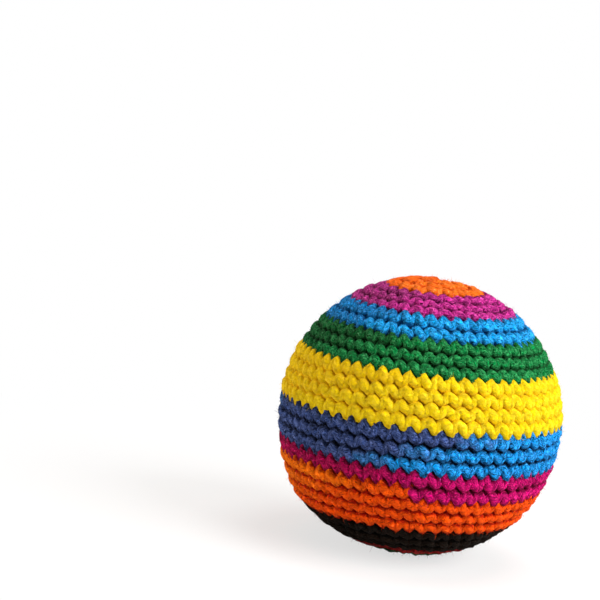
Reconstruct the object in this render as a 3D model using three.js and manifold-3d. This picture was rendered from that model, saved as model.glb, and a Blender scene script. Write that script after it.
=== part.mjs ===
// Knitted stress ball: a crocheted cover worked in one spiral from base to crown, in lengths of
// coloured yarn, round a tied liner of soft stuffing. Millimetres, +Z up along the axis that the
// spiral goes round, origin at the centre of the flat patch that the ball rests on.

import * as THREE from "three";
import { mergeVertices } from "three/addons/utils/BufferGeometryUtils.js";
import Module from "manifold-3d";

const wasm = await Module();
wasm.setup();

// Driving dimensions of the cover
const BALL_DIAMETER = 57; // across the widest round
const CROWN_RISE = 28.1; // from the widest round up to the crown
const BASE_FLATTENING = 0.9; // what the flat patch that it rests on takes off the round form
const FABRIC_THICKNESS = 2.8; // of the crocheted fabric, crest of a round to its inner face
const GROOVE_DEPTH = 0.6; // of the dip between two rounds
const GROOVE_WIDTH = 1.5; // of that dip, crest to crest
const CLOSING_HOLE_RADIUS = 1.3; // what the gathered last round leaves open at the crown
const START_HOLE_RADIUS = 0.8; // what the drawn starting ring leaves open at the base
const CLEARANCE = 0.3; // between pieces that lie against each other in the soft ball

// Driving dimensions of the yarn ends and knots
const RING_RADIUS = 2; // centre line of the starting ring
const RING_YARN_RADIUS = 0.6; // of the yarn drawn tight in that ring
const TAIL_YARN_RADIUS = 0.5; // of the ring's loose end
const TAIL_ARC = 200; // degrees that the loose end lies round the ring
const JOIN_KNOT_WIDTH = 2.4; // of the knot where one colour's yarn is tied to the next
const JOIN_KNOT_THICKNESS = 1.3; // of that knot, pressed flat on the fabric
const THREAD_HEAD_RADIUS = 2.1; // of the gathered stitches inside the closing hole
const THREAD_HEAD_HEIGHT = 0.9;
const CLOSING_KNOT_RADIUS = 1.7;
const CLOSING_KNOT_HEIGHT = 1.5;

// Driving dimensions of the liner and the stuffing
const LINER_WALL = 0.4; // of the stocking liner
const LINER_NECK_BORE = 0.9; // radius left in the gathered neck
const LINER_NECK_LENGTH = 3.2;
const LINER_TIE_YARN_RADIUS = 0.45; // of the thread wound round that neck
const LINER_TIE_WIDTH = 1.8; // of the wound thread, along the neck
const DIMPLE_FLARE = 0.8; // how far the liner's dimples widen towards the cover

// The spiral: each colour from the crown down, how many rounds it is worked for, and how much
// taller than the mean round its rounds are
const COLUMNS_PER_ROUND = 32;
const BANDS = [
  { name: "crown_orange_band", rounds: 3, stretch: 1.07, colour: 0xff6d1c },
  { name: "purple_band", rounds: 3, stretch: 0.91, colour: 0xa3307f },
  { name: "azure_band", rounds: 2, stretch: 1.1, colour: 0x0f82cf },
  { name: "green_band", rounds: 3, stretch: 0.91, colour: 0x0d7a3d },
  { name: "yellow_band", rounds: 4, stretch: 0.945, colour: 0xf7d40a },
  { name: "denim_band", rounds: 3, stretch: 0.99, colour: 0x2f5fa3 },
  { name: "magenta_band", rounds: 1.5, stretch: 1.07, colour: 0xae0a68 },
  { name: "lower_orange_band", rounds: 3.5, stretch: 1.07, colour: 0xee5f0a },
  { name: "black_band", rounds: 3, stretch: 0.98, colour: 0x241b14 },
  { name: "red_band", rounds: 1, stretch: 1.02, colour: 0x971616 },
  { name: "base_green_band", rounds: 4, stretch: 0.97, colour: 0x0c5124 },
];

// Facets of the small round pieces
const LATHE_SEGMENTS = 20;
const YARN_SIDES = 6;
const RING_STEPS = 16;
const TAIL_STEPS = 12;
const KNOT_COLUMNS = 8;
const KNOT_ROWS = 5;
const LINER_STEPS = 11;
const LEAST_ROW = 0.3; // of a round's height: the spiral starts and stops where a row is this tall
const MOST_SLOPE = 0.4; // of a round's height, that either side of its crest may take
const WELD = 1e-4; // vertices nearer than this are one

// Looks of the plain model
const YARN_ROUGHNESS = 0.95;
const LINER_LOOK = { colour: 0xe9dcc6, roughness: 0.85 };
const TIE_LOOK = { colour: 0xf4f0e6, roughness: 0.9 };
const STUFFING_LOOK = { colour: 0xf7f6f2, roughness: 1 };

// Worked out from the driving dimensions
const sum = (numbers) => numbers.reduce((a, b) => a + b, 0);
const equatorRadius = BALL_DIAMETER / 2;
const equatorHeight = CROWN_RISE - BASE_FLATTENING;
const innerRadius = equatorRadius - FABRIC_THICKNESS;
const innerRise = CROWN_RISE - FABRIC_THICKNESS;
const bandColumns = BANDS.map((band) => Math.round(band.rounds * COLUMNS_PER_ROUND));
const starts = bandColumns.map((_, i) => sum(bandColumns.slice(0, i)));
const allRounds = sum(bandColumns) / COLUMNS_PER_ROUND;
const heights = bandColumns.map((columns, i) => columns * BANDS[i].stretch);

/** The polar angle, from the crown, of the spiral's middle line after some rounds from the crown. */
function polarAt(turn) {
  const column = turn * COLUMNS_PER_ROUND;
  const band = Math.max(0, starts.findLastIndex((start) => column >= start));
  const height = sum(heights.slice(0, band)) + (column - starts[band]) * BANDS[band].stretch;
  return (Math.PI * height) / sum(heights);
}

const closingHoleAngle = Math.asin(CLOSING_HOLE_RADIUS / innerRadius);
const startHoleAngle = Math.asin(START_HOLE_RADIUS / innerRadius);
const crownSpare = closingHoleAngle / polarAt(1) + LEAST_ROW - 0.5;
const baseSpare = startHoleAngle / (Math.PI - polarAt(allRounds - 1)) + LEAST_ROW - 0.5;
const firstColumn = Math.ceil(COLUMNS_PER_ROUND * Math.max(crownSpare, 0));
const lastColumn = Math.floor(COLUMNS_PER_ROUND * (allRounds - Math.max(baseSpare, 0)));

const part = new THREE.Group();

/** Adds a named piece with a material of its own. */
function addPiece(name, geometry, colour, roughness) {
  const material = new THREE.MeshStandardMaterial({ color: colour, roughness, metalness: 0 });
  const mesh = new THREE.Mesh(geometry, material);
  mesh.name = name;
  part.add(mesh);
  return mesh;
}

/** A geometry with its shared vertices joined and nothing but positions. */
function joined(geometry) {
  const bare = geometry.clone();
  bare.deleteAttribute("normal");
  bare.deleteAttribute("uv");
  return mergeVertices(bare, WELD);
}

/** A closed geometry as a solid that can be cut. */
function solidOf(geometry) {
  const shape = joined(geometry);
  return new wasm.Manifold(
    new wasm.Mesh({
      numProp: 3,
      vertProperties: new Float32Array(shape.attributes.position.array),
      triVerts: new Uint32Array(shape.index.array),
    }),
  );
}

/** A cut solid as a geometry again. */
function geometryOf(solid) {
  const { vertProperties, triVerts } = solid.getMesh();
  const geometry = new THREE.BufferGeometry();
  geometry.setAttribute("position", new THREE.BufferAttribute(vertProperties, 3));
  geometry.setIndex(new THREE.BufferAttribute(triVerts, 1));
  geometry.computeVertexNormals();
  return geometry;
}

/**
 * A point of the cover. The polar angle is measured from the crown, the turn in rounds from the
 * back towards +X, and the depth inwards from the crests. Nothing goes lower than floorHeight.
 */
function coverPoint(polar, turn, depth, floorHeight) {
  const azimuth = 2 * Math.PI * turn;
  const reach = (equatorRadius - depth) * Math.sin(polar);
  const height = equatorHeight + (CROWN_RISE - depth) * Math.cos(polar);
  return new THREE.Vector3(
    reach * Math.sin(azimuth),
    reach * Math.cos(azimuth),
    Math.max(height, floorHeight),
  );
}

/** Height of the cover's inner face at a distance from the axis, at the crown (1) or the base (-1). */
function insideHeight(reach, end) {
  const height = equatorHeight + end * innerRise * Math.sqrt(1 - (reach / innerRadius) ** 2);
  return Math.max(height, FABRIC_THICKNESS);
}

/**
 * One colour of the spiral as a solid strip, its rounds grown together at their grooves. It runs
 * from column start to column end, and keeps the clearance to the colour before it.
 */
function spiralBand(start, end, gap) {
  const positions = [];
  const wraps = end > start + COLUMNS_PER_ROUND;
  const polarGap = gap / equatorRadius;

  const edge = (column, side) => {
    const turn = column / COLUMNS_PER_ROUND;
    const polar = THREE.MathUtils.clamp(
      polarAt(turn + side),
      closingHoleAngle,
      Math.PI - startHoleAngle,
    );
    return { turn, polar };
  };
  const startShift = (polar) => gap / (2 * Math.PI * equatorRadius * Math.sin(polar));
  const topEdge = (column) => {
    const { turn, polar } = edge(column, -0.5);
    const besideStart = column === start || (wraps && column === start + COLUMNS_PER_ROUND);
    const belowLast = column <= start + COLUMNS_PER_ROUND;
    return {
      turn: turn + (besideStart ? startShift(polar) : 0),
      polar: polar + (belowLast ? polarGap : 0),
    };
  };
  const bottomEdge = (column) => {
    const next = column + COLUMNS_PER_ROUND;
    if (next <= end && (wraps || column !== start)) {
      return topEdge(next);
    }
    const { turn, polar } = edge(column, 0.5);
    return { turn: turn + (column === start ? startShift(polar) : 0), polar };
  };

  /** The section of the row at one column: groove, two crest points, groove, inner face. */
  const section = (column) => {
    const top = topEdge(column);
    const bottom = bottomEdge(column);
    const topTurn = column === start ? top.turn : column / COLUMNS_PER_ROUND;
    const slope = Math.min(GROOVE_WIDTH / 2 / equatorRadius, (bottom.polar - top.polar) * MOST_SLOPE);
    return {
      topOut: coverPoint(top.polar, top.turn, GROOVE_DEPTH, 0),
      crestHigh: coverPoint(top.polar + slope, topTurn, 0, 0),
      crestLow: coverPoint(bottom.polar - slope, topTurn, 0, 0),
      bottomOut: coverPoint(bottom.polar, bottom.turn, GROOVE_DEPTH, 0),
      topIn: coverPoint(top.polar, top.turn, FABRIC_THICKNESS, FABRIC_THICKNESS),
      bottomIn: coverPoint(bottom.polar, bottom.turn, FABRIC_THICKNESS, FABRIC_THICKNESS),
    };
  };

  const face = (...corners) => {
    for (let i = 2; i < corners.length; i += 1) {
      for (const corner of [corners[0], corners[i - 1], corners[i]]) {
        positions.push(corner.x, corner.y, corner.z);
      }
    }
  };

  const sections = [];
  for (let column = start; column <= end; column += 1) {
    sections.push(section(column));
  }
  for (let column = start; column < end; column += 1) {
    const a = sections[column - start];
    const b = sections[column - start + 1];
    face(a.topOut, b.topOut, b.crestHigh, a.crestHigh);
    face(a.crestHigh, b.crestHigh, b.crestLow, a.crestLow);
    face(a.crestLow, b.crestLow, b.bottomOut, a.bottomOut);
    face(a.topIn, a.bottomIn, b.bottomIn, b.topIn);
    if (column < start + COLUMNS_PER_ROUND) {
      face(a.topIn, b.topIn, b.topOut, a.topOut);
    }
    if (column >= end - COLUMNS_PER_ROUND) {
      face(a.bottomOut, b.bottomOut, b.bottomIn, a.bottomIn);
    }
  }
  const head = sections[0];
  const foot = sections[sections.length - 1];
  face(head.topIn, head.topOut, head.crestHigh, head.crestLow, head.bottomOut, head.bottomIn);
  face(foot.topIn, foot.bottomIn, foot.bottomOut, foot.crestLow, foot.crestHigh, foot.topOut);

  const geometry = new THREE.BufferGeometry();
  geometry.setAttribute("position", new THREE.Float32BufferAttribute(positions, 3));
  return mergeVertices(geometry, WELD);
}

/** A flattened round knot, centred on the origin with its short way along Z. */
function knotShape(width, thickness) {
  const shape = new THREE.SphereGeometry(0.5, KNOT_COLUMNS, KNOT_ROWS);
  shape.rotateX(Math.PI / 2);
  shape.scale(width, width, thickness);
  return shape;
}

/** An arc of a circle in a level plane, for yarn to follow. */
class LevelArc extends THREE.Curve {
  constructor(radius, height, degrees) {
    super();
    this.radius = radius;
    this.height = height;
    this.angle = THREE.MathUtils.degToRad(degrees);
  }

  getPoint(t, target = new THREE.Vector3()) {
    const at = this.angle * t;
    return target.set(this.radius * Math.cos(at), this.radius * Math.sin(at), this.height);
  }
}

/** A lathe piece about the Z axis, from [radius, height] pairs that run from the base up. */
function turned(profile) {
  const shape = new THREE.LatheGeometry(
    profile.map(([radius, height]) => new THREE.Vector2(radius, height)),
    LATHE_SEGMENTS,
  );
  shape.rotateX(Math.PI / 2);
  return shape;
}

// The knots that tie each colour's yarn to the next, in hollows of the cover's inner face
const joins = BANDS.slice(1).map((band, i) => {
  const column = starts[i + 1];
  const turn = column / COLUMNS_PER_ROUND;
  const polar = polarAt(turn);
  const depth = FABRIC_THICKNESS - JOIN_KNOT_THICKNESS / 2;
  const floorHeight = FABRIC_THICKNESS - depth;
  const centre = coverPoint(polar, turn, depth, floorHeight);
  const outwards = coverPoint(polar, turn, 0, 0).sub(coverPoint(polar, turn, FABRIC_THICKNESS, 0));
  const turnedOut = new THREE.Quaternion().setFromUnitVectors(
    new THREE.Vector3(0, 0, 1),
    outwards.normalize(),
  );
  const name = `${BANDS[i].name.replace("_band", "")}_to_${band.name.replace("_band", "")}_knot`;
  return { name, centre, turnedOut, above: i, below: i + 1, colour: band.colour };
});

/** The hollow that a join knot lies in. */
function knotHollow(join) {
  const spare = 2 * CLEARANCE;
  const shape = knotShape(JOIN_KNOT_WIDTH + spare, JOIN_KNOT_THICKNESS + spare);
  shape.applyQuaternion(join.turnedOut);
  shape.translate(join.centre.x, join.centre.y, join.centre.z);
  return solidOf(shape);
}

// The cover, colour by colour
BANDS.forEach((band, i) => {
  const start = Math.max(starts[i], firstColumn);
  const end = Math.min(starts[i] + bandColumns[i], lastColumn);
  let solid = solidOf(spiralBand(start, end, i > 0 ? CLEARANCE : 0));
  for (const join of joins) {
    if (join.above === i || join.below === i) {
      solid = solid.subtract(knotHollow(join));
    }
  }
  addPiece(band.name, geometryOf(solid), band.colour, YARN_ROUGHNESS);
});
for (const join of joins) {
  const knot = addPiece(
    join.name,
    knotShape(JOIN_KNOT_WIDTH, JOIN_KNOT_THICKNESS),
    join.colour,
    YARN_ROUGHNESS,
  );
  knot.position.copy(join.centre);
  knot.quaternion.copy(join.turnedOut);
}

// The starting ring and its loose end, on the cover's inner face at the base
const ringOuterRadius = RING_RADIUS + RING_YARN_RADIUS;
const tailRadius = ringOuterRadius + CLEARANCE + TAIL_YARN_RADIUS;
const tailOuterRadius = tailRadius + TAIL_YARN_RADIUS;
const ringBottom = insideHeight(ringOuterRadius, -1) + CLEARANCE;
const tailBottom = insideHeight(tailOuterRadius, -1) + CLEARANCE;
const baseColour = BANDS[BANDS.length - 1].colour;
const startRing = new THREE.TorusGeometry(RING_RADIUS, RING_YARN_RADIUS, YARN_SIDES, RING_STEPS);
const startRingMesh = addPiece("start_ring", startRing, baseColour, YARN_ROUGHNESS);
startRingMesh.position.z = ringBottom + RING_YARN_RADIUS;

const tailSection = new THREE.Shape(
  new THREE.EllipseCurve(0, 0, TAIL_YARN_RADIUS, TAIL_YARN_RADIUS).getPoints(YARN_SIDES).slice(1),
);
const startTail = new THREE.ExtrudeGeometry(tailSection, {
  steps: TAIL_STEPS,
  extrudePath: new LevelArc(tailRadius, tailBottom + TAIL_YARN_RADIUS, TAIL_ARC),
});
addPiece("start_tail", startTail, baseColour, YARN_ROUGHNESS);

// The thread that gathers the last round at the crown, its head inside the cover and its knot
// under the head
const stemRadius = CLOSING_HOLE_RADIUS - CLEARANCE;
const stemTop = equatorHeight + CROWN_RISE - GROOVE_DEPTH;
const headTop = insideHeight(THREAD_HEAD_RADIUS, 1) - CLEARANCE;
const headBottom = headTop - THREAD_HEAD_HEIGHT;
const closingThread = turned([
  [0, headBottom],
  [THREAD_HEAD_RADIUS, headBottom],
  [THREAD_HEAD_RADIUS, headTop],
  [stemRadius, headTop],
  [stemRadius, stemTop],
  [0, stemTop],
]);
addPiece("closing_thread", closingThread, BANDS[0].colour, YARN_ROUGHNESS);

const knotTop = headBottom - CLEARANCE;
const knotBottom = knotTop - CLOSING_KNOT_HEIGHT;
const closingKnot = knotShape(2 * CLOSING_KNOT_RADIUS, CLOSING_KNOT_HEIGHT);
const closingKnotMesh = addPiece("closing_knot", closingKnot, BANDS[0].colour, YARN_ROUGHNESS);
closingKnotMesh.position.z = (knotBottom + knotTop) / 2;

// The stocking liner, dimpled at the base for the ring and at the crown for the knot and its neck
const neckRadius = LINER_NECK_BORE + LINER_WALL;
const tieBore = neckRadius + CLEARANCE;
const tieRadius = tieBore + 2 * LINER_TIE_YARN_RADIUS;
const neckTop = knotBottom - CLEARANCE;
const baseDimple = {
  radius: tailOuterRadius + CLEARANCE,
  height: Math.max(ringBottom + 2 * RING_YARN_RADIUS, tailBottom + 2 * TAIL_YARN_RADIUS) + CLEARANCE,
};
const crownDimple = {
  radius: Math.max(THREAD_HEAD_RADIUS, CLOSING_KNOT_RADIUS, tieRadius) + CLEARANCE,
  height: neckTop - LINER_NECK_LENGTH,
};

/**
 * The liner's form brought in by an inset, from the middle of the base to the crown dimple's rim,
 * as [radius, height] pairs.
 */
function linerForm(inset) {
  const depth = FABRIC_THICKNESS + CLEARANCE + inset;
  const reach = equatorRadius - depth;
  const low = Math.PI - Math.asin((baseDimple.radius + DIMPLE_FLARE + inset) / reach);
  const high = Math.asin((crownDimple.radius + DIMPLE_FLARE + inset) / reach);
  const form = [
    [0, baseDimple.height + inset],
    [baseDimple.radius + inset, baseDimple.height + inset],
  ];
  for (let i = 0; i <= LINER_STEPS; i += 1) {
    const polar = THREE.MathUtils.lerp(low, high, i / LINER_STEPS);
    const point = coverPoint(polar, 0, depth, depth);
    form.push([point.y, point.z]);
  }
  form.push([crownDimple.radius + inset, crownDimple.height - inset]);
  return form;
}

const linerOutside = [
  ...linerForm(0),
  [neckRadius, crownDimple.height],
  [neckRadius, neckTop],
];
const linerInside = [
  ...linerForm(LINER_WALL),
  [LINER_NECK_BORE, crownDimple.height - LINER_WALL],
  [LINER_NECK_BORE, neckTop],
];
const liner = turned([...linerOutside, ...linerInside.reverse()]);
addPiece("stocking_liner", liner, LINER_LOOK.colour, LINER_LOOK.roughness);

// The thread wound round the liner's neck
const tieMiddle = neckTop - LINER_NECK_LENGTH / 2;
const tieHalf = LINER_TIE_WIDTH / 2;
const linerTie = turned([
  [tieBore, tieMiddle - tieHalf],
  [tieBore + LINER_TIE_YARN_RADIUS, tieMiddle - tieHalf],
  [tieRadius, tieMiddle - tieHalf + LINER_TIE_YARN_RADIUS],
  [tieRadius, tieMiddle + tieHalf - LINER_TIE_YARN_RADIUS],
  [tieBore + LINER_TIE_YARN_RADIUS, tieMiddle + tieHalf],
  [tieBore, tieMiddle + tieHalf],
  [tieBore, tieMiddle - tieHalf],
]);
addPiece("liner_tie", linerTie, TIE_LOOK.colour, TIE_LOOK.roughness);

// The soft stuffing, which fills the liner
const stuffingInset = LINER_WALL + CLEARANCE;
const stuffing = turned([
  ...linerForm(stuffingInset),
  [0, crownDimple.height - stuffingInset],
]);
addPiece("stuffing", stuffing, STUFFING_LOOK.colour, STUFFING_LOOK.roughness);

export default part;
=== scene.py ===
"""Knitted stress ball: a crocheted cover in lengths of coloured yarn, round a tied soft liner.

Every stitch of the cover is yarn of its own, laid on the spiral that the solids follow. Sizes are
in millimetres, and become metres when a mesh is made. A place on the spiral is given in turns from
the crown and rows above the middle of the round, and a depth inwards from the stitches' crests.
"""

import logging
import math
from collections.abc import Mapping, Sequence
from dataclasses import dataclass, field
from enum import Enum

import bpy
import numpy as np
from mathutils import Matrix, Vector


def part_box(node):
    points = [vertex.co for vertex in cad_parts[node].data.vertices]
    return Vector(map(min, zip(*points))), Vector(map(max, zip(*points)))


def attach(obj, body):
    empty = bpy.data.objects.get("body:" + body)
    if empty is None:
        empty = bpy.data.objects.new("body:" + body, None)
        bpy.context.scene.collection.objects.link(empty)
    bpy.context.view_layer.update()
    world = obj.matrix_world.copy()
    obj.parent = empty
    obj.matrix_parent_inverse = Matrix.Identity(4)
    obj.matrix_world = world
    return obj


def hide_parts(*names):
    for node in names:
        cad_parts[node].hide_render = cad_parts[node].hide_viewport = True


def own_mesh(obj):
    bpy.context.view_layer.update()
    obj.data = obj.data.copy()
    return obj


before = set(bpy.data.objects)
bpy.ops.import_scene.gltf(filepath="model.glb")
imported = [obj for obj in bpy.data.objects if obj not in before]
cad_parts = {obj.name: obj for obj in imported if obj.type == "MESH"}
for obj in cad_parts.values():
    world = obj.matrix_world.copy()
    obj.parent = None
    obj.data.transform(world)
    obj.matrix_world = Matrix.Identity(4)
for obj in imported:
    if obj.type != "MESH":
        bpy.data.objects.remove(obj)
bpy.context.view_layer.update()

LOG = logging.getLogger("knitted_stress_ball")
MM = 0.001
FULL_TURN = 2 * math.pi
UP = np.array([0.0, 0.0, 1.0])
WHITE = (1.0, 1.0, 1.0, 1.0)

Colour = tuple[int, int, int]
Point = tuple[float, float, float]
Rgba = tuple[float, float, float, float]
Waypoint = tuple[float, float, float, float]


def linear(colour: Colour) -> Rgba:
    """Turn a screen colour into the linear colour that shaders take.

    Args:
        colour: Red, green and blue from 0 to 255.

    Returns:
        Red, green, blue and alpha from 0 to 1, in linear light.
    """
    shares = [channel / 255 for channel in colour]
    parts = [s / 12.92 if s <= 0.04045 else ((s + 0.055) / 1.055) ** 2.4 for s in shares]
    return *parts, 1.0


def smooth_max(a: np.ndarray, b: np.ndarray | float, blend: float) -> np.ndarray:
    """Take the larger of two lengths, with the corner between them rounded over by blend."""
    return 0.5 * (a + b + np.sqrt((a - b) ** 2 + blend**2))


def unit(vectors: np.ndarray) -> np.ndarray:
    """Scale rows of vectors to length one."""
    return vectors / np.maximum(np.linalg.norm(vectors, axis=-1, keepdims=True), 1e-9)


def round_angles(count: int) -> np.ndarray:
    """Divide a full turn evenly."""
    return FULL_TURN * np.arange(count) / count


def distances(points: np.ndarray) -> np.ndarray:
    """Measure how far each point of a line is from its start, along it."""
    steps = np.linalg.norm(np.diff(points, axis=0), axis=1)
    return np.concatenate([[0.0], np.cumsum(steps)])


def heights_of(node: str) -> tuple[float, float]:
    """Find the lowest and the highest point of a solid."""
    low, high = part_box(node)
    return low.z / MM, high.z / MM


def middle_of(node: str) -> np.ndarray:
    """Find the middle of a solid's box."""
    low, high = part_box(node)
    return (np.array(low) + np.array(high)) / 2 / MM


class Signal:
    """A shader socket that can be calculated with like a number."""

    def __init__(self, shader: "Shader", socket: bpy.types.NodeSocket) -> None:
        """Wrap an output socket of a shader."""
        self.shader = shader
        self.socket = socket

    def apply(self, operation: str, *others: "Signal | float") -> "Signal":
        """Add one Math node that takes this signal and any others."""
        return self.shader.math(operation, self, *others)

    def __add__(self, other: "Signal | float") -> "Signal":
        """Add a signal or a number."""
        return self.apply("ADD", other)

    def __sub__(self, other: "Signal | float") -> "Signal":
        """Take a signal or a number away."""
        return self.apply("SUBTRACT", other)

    def __rsub__(self, other: float) -> "Signal":
        """Take this signal away from a number."""
        return self.shader.math("SUBTRACT", other, self)

    def __mul__(self, other: "Signal | float") -> "Signal":
        """Multiply by a signal or a number."""
        return self.apply("MULTIPLY", other)

    __radd__ = __add__
    __rmul__ = __mul__

    def __truediv__(self, other: "Signal | float") -> "Signal":
        """Divide by a signal or a number."""
        return self.apply("DIVIDE", other)

    def __pow__(self, other: "Signal | float") -> "Signal":
        """Raise to a power."""
        return self.apply("POWER", other)

    def __abs__(self) -> "Signal":
        """Drop the sign."""
        return self.apply("ABSOLUTE")

    def step(self, low: float, high: float) -> "Signal":
        """Rise smoothly from 0 at low to 1 at high."""
        values = {"Value": self, "From Min": low, "From Max": high}
        return self.shader.node("ShaderNodeMapRange", values, interpolation_type="SMOOTHSTEP")


class Shader:
    """A material or world whose nodes are written as expressions."""

    def __init__(self, owner: bpy.types.Material | bpy.types.World) -> None:
        """Clear the owner's node tree and start on it."""
        owner.use_nodes = True
        self.owner = owner
        self.tree = owner.node_tree
        self.tree.nodes.clear()

    @classmethod
    def material(cls, name: str) -> "Shader":
        """Start a new material."""
        return cls(bpy.data.materials.new(name))

    def add(
        self, kind: str, values: Mapping[str | int, object] = {}, **settings: object
    ) -> bpy.types.Node:
        """Add a node.

        Args:
            kind: The node's type.
            values: What each input socket gets, by name or number: a signal or a constant.
            settings: Properties of the node, which are set before its sockets.

        Returns:
            The node.
        """
        made = self.tree.nodes.new(kind)
        for key, setting in settings.items():
            setattr(made, key, setting)
        for key, value in values.items():
            if isinstance(value, Signal):
                self.tree.links.new(value.socket, made.inputs[key])
            else:
                made.inputs[key].default_value = value
        return made

    def node(
        self,
        kind: str,
        values: Mapping[str | int, object] = {},
        output: str | int = 0,
        **settings: object,
    ) -> Signal:
        """Add a node and take one of its outputs, by name or number, as a signal."""
        return Signal(self, self.add(kind, values, **settings).outputs[output])

    def math(self, operation: str, *inputs: Signal | float) -> Signal:
        """Add one Math node."""
        return self.node("ShaderNodeMath", dict(enumerate(inputs)), operation=operation)

    def attribute(self, name: str, output: str) -> Signal:
        """Read one of the mesh's own attributes."""
        return self.node("ShaderNodeAttribute", output=output, attribute_name=name)

    def place(self) -> Signal:
        """Read where on the piece a point is."""
        return self.node("ShaderNodeTexCoord", output="Object")

    def split(self, vector: Signal) -> tuple[Signal, ...]:
        """Take a vector apart."""
        parts = self.add("ShaderNodeSeparateXYZ", {0: vector}).outputs
        return tuple(Signal(self, part) for part in parts)

    def join(self, *parts: Signal | float) -> Signal:
        """Make a vector of three parts."""
        return self.node("ShaderNodeCombineXYZ", dict(enumerate(parts)))

    def mix(self, share: Signal | float, first: object, second: object) -> Signal:
        """Mix two colours, the second by share."""
        return self.node("ShaderNodeMix", {0: share, 6: first, 7: second}, 2, data_type="RGBA")

    def scaled(self, colour: Signal, level: Signal | float) -> Signal:
        """Make a colour lighter or darker by a level around 1."""
        values = {0: colour, 1: self.join(level, level, level)}
        return self.node("ShaderNodeVectorMath", values, operation="MULTIPLY")

    def noise(self, at: Signal, scale: float, detail: float = 2.0) -> Signal:
        """Sample smooth noise from 0 to 1."""
        values = {"Vector": at, "Scale": scale, "Detail": detail, "Roughness": 0.6}
        return self.node("ShaderNodeTexNoise", values, "Fac")

    def lines(self, at: Signal, scale: float, level: float, core: float, edge: float) -> Signal:
        """Draw lines where noise is within core of a level, fading out up to edge."""
        return 1 - abs(self.noise(at, scale, 0.0) - level).step(core, edge)

    def bump(self, height: Signal, strength: float, distance: float) -> Signal:
        """Raise a surface by a height from 0 to 1 that stands for a distance."""
        values = {"Strength": strength, "Distance": distance * MM, "Height": height}
        return self.node("ShaderNodeBump", values)

    def surface(self, values: Mapping[str, object]) -> bpy.types.Material:
        """Close a material with a Principled shader whose sockets get these values."""
        return self.close(self.node("ShaderNodeBsdfPrincipled", values))

    def close(self, shader: Signal) -> bpy.types.Material:
        """Close a material with this shader."""
        self.add("ShaderNodeOutputMaterial", {"Surface": shader})
        return self.owner


@dataclass(frozen=True)
class Pooling:
    """Where a yarn's second tone lies on the spiral: a real second dye in the denim yarn, painted
    light and shade in the others.
    """

    starts: float  # the turn at which the second tone starts
    period: float = 1.05
    share: float = 0.5  # of the period that it lasts
    softness: float = 0.05  # share of the period in which the tones blend

    def second_tone(self, turn: Signal) -> Signal:
        """Find how much of the second tone the yarn has.

        Args:
            turn: The turn on the spiral.

        Returns:
            The share of that tone, from 0 to 1.
        """
        phase = ((turn - self.starts) / self.period).apply("FRACT")
        ends = phase.step(self.share, self.share + self.softness)
        return phase.step(0.0, self.softness) * (1 - ends)


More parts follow.
